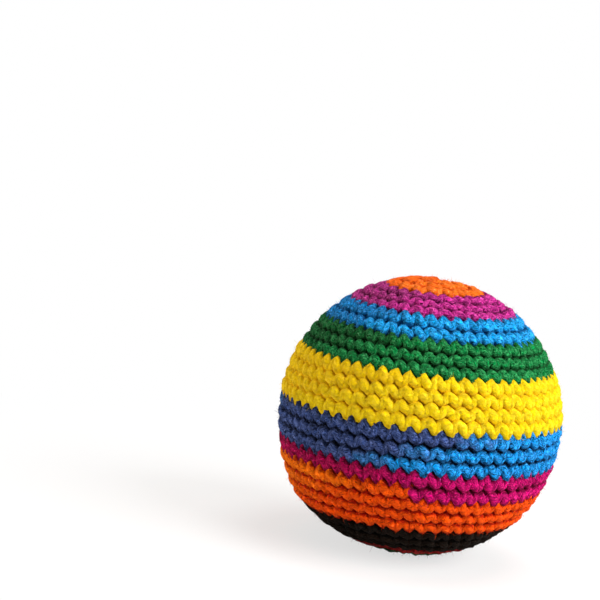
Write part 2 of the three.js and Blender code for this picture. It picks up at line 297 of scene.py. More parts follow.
@dataclass(frozen=True)
class YarnFinish:
    """Soft matt acrylic yarn of plies, with loose fibres, painted crevice shade and painted fibre
    glints.
    """

    slot: str
    main: Colour
    second: Colour
    crevice_shade: Colour
    pooling: Pooling
    glint_cover: float = 0.85  # how far painted highlights on the fibres cover it
    paleness: float = 0.06  # how much white those painted highlights have
    glow: float = 2.1  # how much brighter than the yarn they are
    contrast: float = 1.7  # how strongly the fibre pattern varies the colour, with painted shade in the gaps between fibres
    plies: int = 3
    lay: float = 8.0  # the length in which the plies go round once
    spark: float = 0.9  # how far painted highlights on the few brightest fibres cover it
    spark_glow: float = 3.2
    sheen: float = 0.04
    relief: float = 0.24

    def build(self) -> bpy.types.Material:
        """Make the material.

        Returns:
            The material, which reads the attributes fibre, turn and crest.
        """
        shader = Shader.material(self.slot)
        place = shader.place()
        across, up, along = shader.split(shader.attribute("fibre", "Vector"))
        stray = (shader.noise(place, 800.0, 1.0) - 0.5) * 2.2
        twist = up.apply("ARCTAN2", across) + along * (FULL_TURN / self.lay) + stray
        lie = shader.join(twist.apply("COSINE"), twist.apply("SINE"), along * 0.3)

        patch = shader.noise(place, 260.0)
        turn = shader.attribute("turn", "Fac") + (patch - 0.5) * 0.12
        tone = self.pooling.second_tone(turn)
        base = shader.mix(tone, linear(self.main), linear(self.second))
        # Painted shade: deep between stitches and in the dip between rounds the yarn turns to its
        # crevice shade colour.
        crest = shader.attribute("crest", "Fac")
        shaded = shader.mix(1 - crest.step(0.28, 0.98), base, linear(self.crevice_shade))

        ply = abs((twist * (self.plies / 2)).apply("SINE"))
        strands = shader.noise(lie, 3.4).step(0.36, 0.64)
        tangle = shader.noise(place, 2900.0, 1.0).step(0.36, 0.64)
        wisp = shader.lines(lie, 2.7, 0.5, 0.02, 0.12)
        thread = shader.lines(lie, 5.4, 0.5, 0.02, 0.12)
        gap = shader.lines(lie, 3.3, 0.52, 0.02, 0.11)
        hair = shader.lines(lie, 2.3, 0.46, 0.01, 0.05)

        # The fibre pattern sets the colour's level: random fibre tone, with painted shade in the
        # gaps between the fibres.
        pattern = strands * 0.4 + tangle * 0.2 + wisp * 0.6 + thread * 0.5 - gap * 0.45
        level = (pattern + patch * 0.3 + 0.5) / 1.2
        colour = shader.scaled(shaded, level**self.contrast)
        # Painted highlights: lit and brightest fibres lighten toward white where the crest
        # attribute is high.
        glint = (wisp * 0.5 + thread * 0.7) * shader.noise(place, 1500.0, 1.0).step(0.34, 0.56)
        lit = shader.mix(self.paleness, shader.scaled(base, self.glow), WHITE)
        colour = shader.mix(glint * crest * self.glint_cover, colour, lit)
        few = hair * shader.noise(place, 1300.0, 1.0).step(0.58, 0.64)
        bright = shader.mix(2 * self.paleness, shader.scaled(base, self.spark_glow), WHITE)
        colour = shader.mix(few * crest * self.spark, colour, bright)

        fine = shader.noise(lie, 10.0)
        height = ply * 0.25 + strands * 0.3 + wisp * 0.3 + thread * 0.2 - gap * 0.3 + fine * 0.2
        tint = [0.5 + 0.5 * channel for channel in linear(self.main)[:3]]
        return shader.surface(
            {
                "Base Color": colour,
                "Normal": shader.bump(height, 0.9, self.relief),
                "Roughness": 0.86,
                "Specular IOR Level": 0.05,
                "Sheen Weight": self.sheen,
                "Sheen Roughness": 0.45,
                "Sheen Tint": (*tint, 1.0),
            }
        )


class Yarn(Enum):
    """The yarns of the ball."""

    # Each second tone but the denim's lies on about the left half of each round: a darker copy of
    # the yarn, painted shade, and in the deep orange a lighter one, painted light. The denim's
    # second tone is a real second dye.
    ORANGE = YarnFinish(
        "orange_yarn", (255, 120, 22), (250, 106, 14), (232, 88, 6), Pooling(0.55),
        glint_cover=0.4, paleness=0.08, glow=1.1, contrast=0.4,
    )
    PURPLE = YarnFinish("purple_yarn", (176, 32, 128), (154, 36, 114), (78, 0, 52), Pooling(3.5))
    AZURE = YarnFinish("azure_yarn", (4, 144, 212), (6, 118, 186), (0, 78, 136), Pooling(6.55))
    GREEN = YarnFinish("green_yarn", (0, 117, 55), (3, 92, 40), (0, 52, 16), Pooling(8.55))
    YELLOW = YarnFinish(
        "yellow_yarn", (254, 221, 8), (252, 212, 4), (254, 208, 2), Pooling(11.5),
        glint_cover=0.3, paleness=0.1, glow=1.0, contrast=0.2, spark=0.0,
    )
    DENIM = YarnFinish(
        "denim_yarn", (2, 134, 210), (51, 71, 126), (0, 10, 34),
        Pooling(15.415, share=0.28, softness=0.06), contrast=2.1,
    )
    MAGENTA = YarnFinish(
        "magenta_yarn", (184, 0, 98), (164, 0, 76), (96, 0, 34), Pooling(18.5), paleness=0.02
    )
    DEEP_ORANGE = YarnFinish(
        "deep_orange_yarn", (254, 86, 0), (255, 122, 2), (176, 8, 0),
        Pooling(20.54, softness=0.16), glint_cover=0.4, paleness=0.02, glow=1.8, contrast=0.75,
    )
    BLACK = YarnFinish(
        "black_yarn", (25, 15, 7), (18, 11, 5), (3, 2, 1), Pooling(23.5), glint_cover=0.4, paleness=0.01
    )
    RED = YarnFinish("red_yarn", (160, 22, 20), (140, 18, 18), (60, 4, 4), Pooling(26.5))
    DARK_GREEN = YarnFinish(
        "dark_green_yarn", (12, 84, 36), (10, 72, 32), (2, 24, 8), Pooling(27.5)
    )
    THREAD = YarnFinish(
        "sewing_thread", (245, 240, 230), (245, 240, 230), (190, 180, 160), Pooling(0.0),
        contrast=0.5, plies=2, lay=1.6,
    )


@dataclass(frozen=True)
class FabricFinish:
    """Plain soft material of the liner or the stuffing, painted darker in the low parts of its
    relief for shade.
    """

    slot: str
    colour: Colour
    # painted shade in the low parts of the relief
    shade: Colour
    scale: Point  # how fine its fibres are along each axis, to a metre
    relief: float
    roughness: float
    wales: int = 0  # knitted columns round the ball, 0 for loose fibre
    course: float = 0.5  # height of a knitted row

    def build(self) -> bpy.types.Material:
        """Make the material.

        Returns:
            The material, which reads object coordinates.
        """
        shader = Shader.material(self.slot)
        place = shader.place()
        lie = shader.node("ShaderNodeMapping", {"Vector": place, "Scale": self.scale})
        height = shader.noise(lie, 1.0, 4.0).step(0.3, 0.7)
        if self.wales:
            across, away, up = shader.split(place)
            wale = abs((away.apply("ARCTAN2", across) * (self.wales / 2)).apply("SINE"))
            course = abs((up * (math.pi / (self.course * MM)) + wale * 0.8).apply("SINE"))
            height = height * 0.35 + wale * 0.35 + course * 0.3
        return shader.surface(
            {
                "Base Color": shader.mix(height, linear(self.shade), linear(self.colour)),
                "Normal": shader.bump(height, 0.8, self.relief),
                "Roughness": self.roughness,
                "Specular IOR Level": 0.3,
                "Sheen Weight": 0.3,
            }
        )


class Inside(Enum):
    """The fabrics inside the cover."""

    STOCKING = FabricFinish(
        "stocking", (236, 222, 200), (196, 176, 146), (1500, 1500, 700), 0.15, 0.7, wales=260
    )
    STUFFING = FabricFinish(
        "fibre_stuffing", (250, 248, 244), (214, 210, 203), (500, 900, 700), 0.8, 1.0
    )


@dataclass(frozen=True)
class YarnLength:
    """One length of coloured yarn in the cover."""

    name: str
    rounds: float
    stretch: float  # how much taller than the mean its rounds are
    yarn: Yarn
    bulk: float = 1.0


@dataclass(frozen=True)
class CoverForm:
    """The outer form of the ball and the spiral that its rounds follow."""

    diameter: float = 57.0
    crown_rise: float = 28.1
    base_flattening: float = 0.9
    fabric_thickness: float = 2.8
    most_stitches: int = 60
    widening: int = 6  # stitches more in each round away from a pole
    lean: float = 0.1  # stitches that each leaning round is shifted by
    leaning: tuple[float, float] = (10, 22)  # the turns between which the columns of stitches lean
    upright: float = 19.5  # the turn that isn't shifted
    pole_blend: float = 0.5  # turns in which the spiral slows down at a pole
    inset: float = 0.42  # how far inside the solids' crests the stitches lie
    sag: float = 1.2  # how far the settled filling pushes the cover out
    sag_at: float = 2.28  # the angle from the crown where it does so most
    sag_spread: float = 0.34
    sag_level: float = 0.65  # share of it in the middle
    lopsided: float = 0.42  # how much more the left has, and the right less
    rest_blend: float = 0.3
    lengths: tuple[YarnLength, ...] = (
        YarnLength("crown_orange_band", 3, 1.22, Yarn.ORANGE),
        YarnLength("purple_band", 3, 0.855, Yarn.PURPLE),
        YarnLength("azure_band", 2, 1.05, Yarn.AZURE),
        YarnLength("green_band", 3, 0.91, Yarn.GREEN),
        YarnLength("yellow_band", 4, 0.92, Yarn.YELLOW, 1.1),
        YarnLength("denim_band", 3, 0.98, Yarn.DENIM),
        YarnLength("magenta_band", 1.5, 1.07, Yarn.MAGENTA),
        YarnLength("lower_orange_band", 3.5, 0.93, Yarn.DEEP_ORANGE, 1.06),
        YarnLength("black_band", 3, 1.13, Yarn.BLACK),
        YarnLength("red_band", 1, 1.08, Yarn.RED),
        YarnLength("base_green_band", 4, 0.97, Yarn.DARK_GREEN),
    )

    @property
    def radius(self) -> float:
        """Radius at the widest round."""
        return self.diameter / 2

    @property
    def widest_height(self) -> float:
        """Height of the widest round above the surface that the ball rests on."""
        return self.crown_rise - self.base_flattening

    @property
    def starts(self) -> list[float]:
        """The turn at which each length starts, and the last turn."""
        return [0.0, *np.cumsum([length.rounds for length in self.lengths])]

    def stitches_in(self, turn: int) -> int:
        """Count the stitches of the round that starts at a turn."""
        widest = self.most_stitches // self.widening
        return self.widening * min(turn + 1, widest, int(self.starts[-1]) - turn)

    def polar_at(self, turn: np.ndarray) -> np.ndarray:
        """Find how far down the ball the spiral is after some turns.

        Args:
            turn: Turns from the crown.

        Returns:
            Angles from the crown, kept a little off both poles.
        """
        total, blend = self.starts[-1], self.pole_blend
        kept = blend * np.logaddexp(0, turn / blend)
        kept = total - blend * np.logaddexp(0, (total - kept) / blend)
        heights = np.cumsum([0.0, *(s.rounds * s.stretch for s in self.lengths)])
        return math.pi * np.interp(kept, self.starts, heights) / heights[-1]

    def azimuth_at(self, turn: np.ndarray) -> np.ndarray:
        """Angle from the back towards the right, with the slight lean of the stitch columns."""
        shift = self.lean / self.most_stitches * (np.clip(turn, *self.leaning) - self.upright)
        return FULL_TURN * (turn + shift)

    def outward(self, turn: np.ndarray, up: np.ndarray) -> np.ndarray:
        """Find the directions that point out of the ball.

        Args:
            turn: Turns along the spiral.
            up: Rows above the middle of the round.

        Returns:
            Directions, one a row.
        """
        polar, azimuth = self.polar_at(turn - up), self.azimuth_at(turn)
        return np.stack(
            [np.sin(polar) * np.sin(azimuth), np.sin(polar) * np.cos(azimuth), np.cos(polar)], -1
        )

    def place(self, turn: np.ndarray, up: np.ndarray, depth: np.ndarray) -> np.ndarray:
        """Find points of the cover.

        Args:
            turn: Turns along the spiral.
            up: Rows above the middle of the round.
            depth: Distance inwards from the crests.

        Returns:
            Points, one a row.
        """
        depth = depth + self.inset
        polar, azimuth = self.polar_at(turn - up), self.azimuth_at(turn)
        swell = self.sag * np.exp(-(((polar - self.sag_at) / self.sag_spread) ** 2))
        swell = swell * (self.sag_level - self.lopsided * np.sin(azimuth)) - depth
        reach = (self.radius + swell) * np.sin(polar)
        height = self.widest_height + (self.crown_rise + swell) * np.cos(polar)
        height = smooth_max(height, depth, self.rest_blend)
        return np.stack([reach * np.sin(azimuth), reach * np.cos(azimuth), height], -1)

    def stitches(self, start: float, end: float) -> np.ndarray:
        """List the stitches of a stretch of the spiral.

        Args:
            start: Its first turn.
            end: Its last turn.

        Returns:
            The turns at which each stitch starts and ends, one stitch a row.
        """
        spans = []
        for turn in range(int(self.starts[-1])):
            count = self.stitches_in(turn)
            for i in range(count):
                first = turn + i / count
                if start - 1e-6 <= first < end - 1e-6:
                    spans.append((first, turn + (i + 1) / count))
        return np.array(spans)


@dataclass(frozen=True)
class StitchForm:
    """One V of single crochet, from peak to peak: a thin leg down to the tip, a full one up."""

    # Share of the width, rows above the middle, depth and radius of the yarn at each point.
    points: tuple[Waypoint, ...] = (
        (0.00, 0.30, 0.86, 0.90), (0.08, 0.20, 0.90, 0.93), (0.16, 0.02, 0.91, 0.95),
        (0.24, -0.16, 0.92, 0.93), (0.31, -0.28, 0.93, 0.90), (0.38, -0.30, 0.93, 0.90),
        (0.50, -0.18, 0.86, 0.97), (0.63, -0.03, 0.80, 1.02), (0.77, 0.12, 0.78, 1.02),
        (0.90, 0.26, 0.81, 0.97),
    )
    full_width: float = 2.95  # at which the yarn has its own thickness
    narrow: tuple[float, float] = (0.6, 1.04)  # least and most share of it in other stitches
    sides: int = 7
    rings: int = 12
    unevenness: float = 0.05
    uneven_along: float = 0.6
    uneven_rise: float = 0.5
    uneven_waver: float = 0.4
    uneven_depth: float = 1.4
    ply_relief: float = 0.06
    fuzz: float = 0.025
    edge_reach: float = 0.26  # how far peaks and tips reach into the next colour
    edge_rise: float = 0.12
    edge_taper: float = 0.18
    # The points that each end goes on through, into the fabric.
    tuck: tuple[Waypoint, ...] = ((0.05, 0.42, 1.35, 0.5), (0.14, 0.3, 1.85, 0.45))


@dataclass
class Strand:
    """A stretch of yarn: its centre line and what its surface needs to know along it."""

    points: np.ndarray
    outward: np.ndarray
    radii: np.ndarray
    depths: np.ndarray  # distances inwards from the crests
    turns: np.ndarray
    ups: np.ndarray  # rows above the middle of the round
    closed: bool = False

    def axes(self) -> tuple[np.ndarray, np.ndarray, np.ndarray]:
        """Find the yarn's own directions.

        Returns:
            Those along it, across it and out of it, at each point.
        """
        if self.closed:
            along = unit(np.roll(self.points, -1, 0) - np.roll(self.points, 1, 0))
        else:
            along = unit(np.gradient(self.points, axis=0))
        across = unit(np.cross(along, self.outward))
        return along, across, np.cross(across, along)

    def refined(self, count: int) -> "Strand":
        """Run a smooth curve through the points.

        Args:
            count: How many points the curve gets.

        Returns:
            The same yarn with more points.
        """
        rows = np.column_stack(
            [self.points, self.outward, self.radii, self.depths, self.turns, self.ups]
        )
        rows = np.pad(rows, ((2, 3), (0, 0)), mode="wrap" if self.closed else "edge")
        last = len(self.points) if self.closed else len(self.points) - 1
        at = np.linspace(0, last, count, endpoint=not self.closed)
        whole = np.minimum(at.astype(int), last - 1)
        t = (at - whole)[:, None]
        before, here, after, beyond = (rows[whole + k] for k in (1, 2, 3, 4))
        rows = 0.5 * (
            2 * here
            + (after - before) * t
            + (2 * before - 5 * here + 4 * after - beyond) * t**2
            + (3 * here - before - 3 * after + beyond) * t**3
        )
        return Strand(rows[:, :3], unit(rows[:, 3:6]), *rows[:, 6:].T, self.closed)


def plain_strand(
    points: np.ndarray,
    outward: np.ndarray,
    radius: np.ndarray | float,
    turn: float,
    closed: bool = False,
    depth: float = 0.35,
) -> Strand:
    """Lay yarn that isn't a stitch.

    Args:
        points: Its centre line.
        outward: A direction across the yarn, or one for each point.
        radius: Of the yarn.
        turn: The turn that it is coloured for.
        closed: Whether it meets its own start.
        depth: The depth between the stitches that it is shaded for.

    Returns:
        The strand.
    """
    count = len(points)
    outward = np.broadcast_to(outward, (count, 3)).astype(float)
    radii = np.broadcast_to(radius, count).astype(float)
    depths, turns = np.full(count, depth), np.full(count, turn)
    return Strand(points, outward, radii, depths, turns, np.zeros(count), closed)


@dataclass(frozen=True)
class Hollow:
    """A place where a knot presses the fabric outwards from behind."""

    centre: np.ndarray
    facing: np.ndarray
    radius: float
    floor: float  # how far outside the knot's middle the pressed fabric lies
    slope: float = 0.7
    reach: float = 2.5  # how far inside the knot's middle fabric is still pressed

    def pressed(self, points: np.ndarray) -> np.ndarray:
        """Move points that lie in the hollow out to its floor.

        Args:
            points: Points of the fabric, one a row.

        Returns:
            The moved points.
        """
        away = points - self.centre
        rise = away @ self.facing
        aside = np.linalg.norm(away - rise[:, None] * self.facing, axis=1)
        share = np.clip((self.radius + self.slope - aside) / self.slope, 0, 1)
        push = np.where(rise > -self.reach, np.clip(self.floor - rise, 0, None) * share, 0)
        return points + push[:, None] * self.facing


@dataclass
class YarnMesh:
    """A mesh in the making, with the attributes that the yarn finish reads."""

    points: list[np.ndarray] = field(default_factory=list)
    faces: list[tuple[int, ...]] = field(default_factory=list)
    fibre: list[np.ndarray] = field(default_factory=list)
    crest: list[np.ndarray] = field(default_factory=list)  # painted shade mask: 1 on the crests, 0 deep between, less in the dip between rounds
    turn: list[np.ndarray] = field(default_factory=list)
    count: int = 0
    row: float = 2.76
    groove_shade: float = 0.6
    groove_spread: float = 0.13
    full_shade: float = 1.7
    rest_blend: float = 0.06

    def add_rings(self, rings: np.ndarray, closed: bool) -> None:
        """Join rings of points into a closed tube.

        Args:
            rings: Points, by ring and place in the ring, each ring turning left about the way on.
            closed: Whether the last ring meets the first.
        """
        total, sides = rings.shape[:2]
        ring = np.arange(total if closed else total - 1)[:, None]
        side = np.arange(sides)[None, :]
        after, beside = (ring + 1) % total, (side + 1) % sides
        corners = [(ring, side), (ring, beside), (after, beside), (after, side)]
        quads = np.stack([a * sides + b for a, b in corners], -1).reshape(-1, 4)
        self.faces += [tuple(quad) for quad in (quads + self.count).tolist()]
        if not closed:
            last = self.count + (total - 1) * sides
            self.faces.append(tuple(self.count + i for i in reversed(range(sides))))
            self.faces.append(tuple(last + i for i in range(sides)))
        self.points.append(rings.reshape(-1, 3))
        self.count += total * sides

    def add_strand(self, strand: Strand, sides: int, relief: np.ndarray | float = 1.0) -> None:
        """Add a stretch of yarn as a tube.

        Args:
            strand: The yarn.
            sides: How many sides the tube has.
            relief: What the radius is multiplied by at each point of each ring.
        """
        _, across, out = strand.axes()
        angles = round_angles(sides)
        radii = strand.radii[:, None] * relief
        high, wide = radii * np.cos(angles), radii * np.sin(angles)
        line = strand.points[:, None]
        rings = line + high[..., None] * out[:, None] + wide[..., None] * across[:, None]
        along = np.repeat(distances(strand.points)[:, None], sides, 1)
        self.fibre.append(np.stack([high, wide, along], -1).reshape(-1, 3))
        rising = unit(UP - strand.outward[:, 2:] * strand.outward)
        up = strand.ups[:, None] + ((rings - line) * rising[:, None]).sum(-1) / self.row
        # Painted shade: darker with depth below the crests and in the dip between two rounds.
        beside = np.abs(np.abs(up) - 0.5)
        groove = self.groove_shade * np.exp(-((beside / self.groove_spread) ** 2))
        shade = np.clip((strand.depths[:, None] - high) / self.full_shade, 0, 1)
        self.crest.append(((1 - shade) * (1 - groove)).ravel())
        self.turn.append(np.repeat(strand.turns, sides))
        self.add_rings(rings, strand.closed)

    def add_loops(self, rings: np.ndarray, crest: np.ndarray, turns: np.ndarray) -> None:
        """Add a thick strip that is given as rings of points.

        Args:
            rings: Points, by ring and place in the ring.
            crest: How near to the crests each point is, which sets its painted shade.
            turns: The turn of each ring.
        """
        angles = round_angles(rings.shape[1])
        parts = np.cos(angles), np.sin(angles), distances(rings[:, 0])[:, None]
        fibre = np.stack([np.broadcast_to(part, rings.shape[:2]) for part in parts], -1)
        self.fibre.append(fibre.reshape(-1, 3))
        self.crest.append(crest.ravel())
        self.turn.append(np.repeat(turns, rings.shape[1]))
        self.add_rings(rings, False)

    def build(self, name: str, hollows: Sequence[Hollow] = ()) -> bpy.types.Object:
        """Make the object.

        Args:
            name: Its name.
            hollows: Where knots press it from behind.

        Returns:
            The object, at the origin, in metres.
        """
        points = np.concatenate(self.points)
        for hollow in hollows:
            points = hollow.pressed(points)
        points[:, 2] = smooth_max(points[:, 2], 0.0, self.rest_blend)
        mesh = bpy.data.meshes.new(name)
        mesh.from_pydata((points * MM).tolist(), [], self.faces)
        for label, rows in (("crest", self.crest), ("turn", self.turn)):
            layer = mesh.attributes.new(label, "FLOAT", "POINT")
            layer.data.foreach_set("value", np.concatenate(rows).astype(np.float32))
        layer = mesh.attributes.new("fibre", "FLOAT_VECTOR", "POINT")
        layer.data.foreach_set("vector", np.concatenate(self.fibre).astype(np.float32).ravel())
        mesh.shade_smooth()
        mesh.update()
        made = bpy.data.objects.new(name, mesh)
        bpy.context.scene.collection.objects.link(made)
        return made


class Body(Enum):
    """The solids' two bodies."""

    ROOT = "root"
    CROWN = "crown"


@dataclass(frozen=True)
class Dressing:
    """The materials of the pieces, and how they follow when the crown is pressed down."""

    materials: Mapping[str, bpy.types.Material]
    travel: float = 18.0
    joint: str = "squeeze"

    def share_kept(self) -> float:
        """Share of its height that the cover keeps, so that it still meets the crown's band."""
        return 1 - self.travel / heights_of("crown_orange_band")[0]

    def dress(
        self, piece: bpy.types.Object, slot: str, body: Body, node: str = ""
    ) -> bpy.types.Object:
        """Give a piece its material, let it ride on its body, and give it its own mesh if that is
        the root.

        Args:
            piece: The piece, whose mesh is finished.
            slot: The record's slot of its material.
            body: The body that it rides on.
            node: The solid that it stands for, if it does.

        Returns:
            The piece.
        """
        piece.data.materials.clear()
        piece.data.materials.append(self.materials[slot])
        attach(piece, body.value)
        if body is Body.ROOT:
            self.share_kept()
            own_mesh(piece)
        if node:
            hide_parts(node)
        return piece

    def wind(
        self, name: str, node: str, yarn: Yarn, body: Body, *tubes: tuple[Strand, int]
    ) -> bpy.types.Object:
        """Make the piece of yarn that stands for a solid.

        Args:
            name: The piece's name.
            node: The solid.
            yarn: What it is made of.
            body: The body that it rides on.
            tubes: Its stretches of yarn, and how many sides each gets.

        Returns:
            The piece.
        """
        mesh = YarnMesh()
        for strand, sides in tubes:
            mesh.add_strand(strand, sides)
        return self.dress(mesh.build(name), yarn.value.slot, body, node)


@dataclass(frozen=True)
class LooseFibres:
    """The fibres that stand out of the yarn, each a thin closed spike."""

    per_stitch: int = 22
    sides: int = 3
    rings: int = 3
    spread: float = 0.9  # round the yarn from its outer side, as an angle
    root: float = 0.8
    length: tuple[float, float] = (5.0, 0.11)  # shape and scale of their spread
    lift: tuple[float, float] = (0.25, 1.0)  # how much they point away from the yarn
    lay: float = 0.8  # how much they point along it
    slant: float = 0.5  # how much they point across it
    curl: float = 0.35
    radius: tuple[float, float] = (0.012, 0.036)
    taper: float = 0.35
    tint: tuple[float, float] = (0.5, 60.0)  # how much their place in its pattern differs

    def grow(self, strand: Strand, stitches: int, rng: np.random.Generator) -> YarnMesh:
        """Grow them out of a strand.

        Args:
            strand: The yarn that they grow from.
            stitches: How many stitches it has.
            rng: Source of their places and shapes.

        Returns:
            Their mesh.
        """
        along, across, out = strand.axes()
        count = self.per_stitch * stitches
        at = rng.integers(2, len(strand.points) - 2, count)
        angle = rng.normal(0, self.spread, count)[:, None]
        side = np.cos(angle) * out[at] + np.sin(angle) * across[at]
        start = strand.points[at] + strand.radii[at][:, None] * self.root * side
        length = rng.gamma(*self.length, count)[:, None]
        heading = unit(
            side * rng.uniform(*self.lift, (count, 1))
            + along[at] * rng.normal(0, self.lay, (count, 1))
            + across[at] * rng.normal(0, self.slant, (count, 1))
        )
        bend = unit(np.cross(heading, rng.normal(0, 1, (count, 3))))
        shares = np.linspace(0, 1, self.rings)[None, :, None]
        curl = rng.normal(0, self.curl, (count, 1))
        line = (
            start[:, None]
            + (heading * length)[:, None] * shares
            + (bend * curl * length)[:, None] * shares**2
        )
        radius = rng.uniform(*self.radius, count)[:, None, None, None]
        taper = np.linspace(1, self.taper, self.rings)[None, :, None, None]
        angles = round_angles(self.sides)[:, None]
        other = np.cross(heading, bend)
        ring = (np.cos(angles) * bend[:, None] - np.sin(angles) * other[:, None])[:, None]
        rings = line[:, :, None] + radius * taper * ring
        made = YarnMesh()
        for each in rings:
            made.add_rings(each[:, ::-1], False)
        aside, on = self.tint
        tints = np.column_stack([rng.normal(0, aside, (count, 2)), rng.uniform(0, on, count)])
        corners = self.rings * self.sides
        made.fibre.append(np.repeat(tints, corners, axis=0))
        made.crest.append(np.ones(count * corners))
        made.turn.append(np.repeat(strand.turns[at], corners))
        return made


@dataclass(frozen=True)
class BackForm:
    """The fabric behind the stitches, a strip along the spiral, painted mostly in the crevice shade
    colour.
    """

    # Rows above the middle of the round and depths, down the front and up the inner face.
    section: tuple[tuple[float, float], ...] = (
        (0.54, 1.5), (0.5, 1.2), (0.25, 0.95), (0.0, 0.82), (-0.25, 0.95), (-0.5, 1.2),
        (-0.54, 1.5), (-0.3, 2.1), (0.0, 2.16), (0.3, 2.1),
    )
    steps: int = 4
    posts: float = 0.1
    post_at: float = 0.55
    bars: float = 0.16  # how far the stitches stand out on the inner face
    inner: float = 2.0  # the depth at which the inner face starts
    roughness: float = 0.02
    # Its crest attribute: at most this much, and less with depth, so that it takes painted shade.
    crest: float = 0.45
    full_shade: float = 3.4

    def lay(self, form: CoverForm, spans: np.ndarray, rng: np.random.Generator) -> YarnMesh:
        """Lay the strip.

        Args:
            form: The cover's form.
            spans: The turns at which each stitch starts and ends.
            rng: Source of the roughness.

        Returns:
            Its mesh.
        """
        shares = np.arange(self.steps) / self.steps
        turns = (spans[:, :1] + (spans[:, 1] - spans[:, 0])[:, None] * shares).ravel()
        turns = np.append(turns, spans[-1, 1])
        phase = np.append(np.tile(shares, len(spans)), 0.0)[:, None]
        up, depth = np.array(self.section).T
        posts = self.posts * np.cos(FULL_TURN * (phase - self.post_at))
        depths = depth + np.where(depth > self.inner, self.bars * np.cos(FULL_TURN * phase), posts)
        depths = depths + rng.normal(0, self.roughness, depths.shape)
        rings = form.place(
            np.broadcast_to(turns[:, None], depths.shape), np.broadcast_to(up, depths.shape), depths
        )
        crest = self.crest - np.clip(depths / self.full_shade, 0, self.crest)
        made = YarnMesh()
        made.add_loops(rings, crest, turns)
        return made


@dataclass
class CoverLength:
    """One length of the cover: its stitches, the fabric behind them and the loose fibres."""

    form: CoverForm
    length: YarnLength
    start: float
    end: float
    hollows: Sequence[Hollow] = ()
    stitch: StitchForm = StitchForm()
    back: BackForm = BackForm()
    fibres: LooseFibres = LooseFibres()
    seed: int = 7

    def strand(self, spans: np.ndarray, rng: np.random.Generator) -> Strand:
        """Lay the yarn of the stitches.

        Args:
            spans: The turns at which each stitch starts and ends.
            rng: Source of the small differences between stitches.

        Returns:
            The whole length as one strand.
        """
        stitch, uneven = self.stitch, self.stitch.unevenness
        along, up, depth, radius = np.array(stitch.points).T
        shape = (len(spans), len(along))
        rise, sink, swell, _ = rng.normal(0, 1, (len(spans), 4)).T[:, :, None]
        width = (spans[:, 1] - spans[:, 0])[:, None]
        shares = along + uneven * stitch.uneven_along * rng.normal(0, 1, shape)
        turns = spans[:, :1] + width * shares
        waver = uneven * stitch.uneven_waver * rng.normal(0, 1, shape)
        ups = up + uneven * stitch.uneven_rise * rise + waver
        depths = depth + uneven * stitch.uneven_depth * sink

        peak = (spans[:, :1] < self.start + 1) * np.clip(up / up.max(), 0, 1) ** 3
        tip = (spans[:, :1] >= self.end - 1) * np.clip(up / up.min(), 0, 1) ** 3
        ups = ups + stitch.edge_reach * (peak - tip)
        depths = depths - stitch.edge_rise * (peak + tip)
        polar = self.form.polar_at(spans.mean(1))
        wide = FULL_TURN * self.form.radius * np.sin(polar)[:, None] * width
        scale = np.clip(wide / stitch.full_width, *stitch.narrow)
        radii = radius * self.length.bulk * scale * (1 + uneven * swell)
        radii = radii * (1 - stitch.edge_taper * (peak + tip))

        _, peak_up, peak_depth, peak_radius = stitch.points[0]
        on, tuck_up, tuck_depth, tuck_radius = np.array(stitch.tuck).T
        on = on / self.form.most_stitches
        tuck_radius = tuck_radius * scale[0, 0]

        def ended(values: np.ndarray, last: float, tuck: np.ndarray) -> np.ndarray:
            """Add what both ends go through to the values along the stitches."""
            return np.concatenate([tuck[::-1], values.ravel(), [last, *tuck]])

        start, end = spans[0, 0], spans[-1, 1]
        turns = np.concatenate([start - on[::-1], turns.ravel(), [end, *(end + on)]])
        ups = ended(ups, peak_up, tuck_up)
        depths = ended(depths, peak_depth, tuck_depth)
        radii = ended(radii, peak_radius * scale[-1, 0], tuck_radius)
        points, outward = self.form.place(turns, ups, depths), self.form.outward(turns, ups)
        return Strand(points, outward, radii, depths, turns, ups)

    def relief(self, strand: Strand, rng: np.random.Generator) -> np.ndarray:
        """Work out the plies and the roughness of the yarn.

        Args:
            strand: The yarn.
            rng: Source of the roughness.

        Returns:
            What the radius is multiplied by at each point of each ring.
        """
        finish, stitch = self.length.yarn.value, self.stitch
        turned = FULL_TURN / finish.lay * distances(strand.points)[:, None]
        twist = round_angles(stitch.sides) + turned
        groove = 1 - np.abs(np.sin(twist * finish.plies / 2))
        rough = rng.normal(0, stitch.fuzz, groove.shape)
        return 1 - stitch.ply_relief * groove**2 + rough

    def build(self, dressing: Dressing) -> list[bpy.types.Object]:
        """Make the pieces of this length.

        Args:
            dressing: Their material and how they move.

        Returns:
            The stitches, the fabric behind them and the loose fibres.
        """
        rng = np.random.default_rng(int(self.start * 100) + self.seed)
        colour = self.length.name.removesuffix("_band")
        spans = self.form.stitches(self.start, self.end)
        coarse = self.strand(spans, rng)
        strand = coarse.refined(len(coarse.points) * self.stitch.rings // len(self.stitch.points))
        stitches = YarnMesh()
        stitches.add_strand(strand, self.stitch.sides, self.relief(strand, rng))
        fabric = self.back.lay(self.form, spans, rng)
        fibres = self.fibres.grow(strand, len(spans), rng)
        body = Body.CROWN if self.start == 0 else Body.ROOT
        slot = self.length.yarn.value.slot
        parts = (
            ("stitches", stitches, self.length.name),
            ("fabric", fabric, ""),
            ("loose_fibres", fibres, ""),
        )
        return [
            dressing.dress(mesh.build(f"{colour}_{part}", self.hollows), slot, body, node)
            for part, mesh, node in parts
        ]


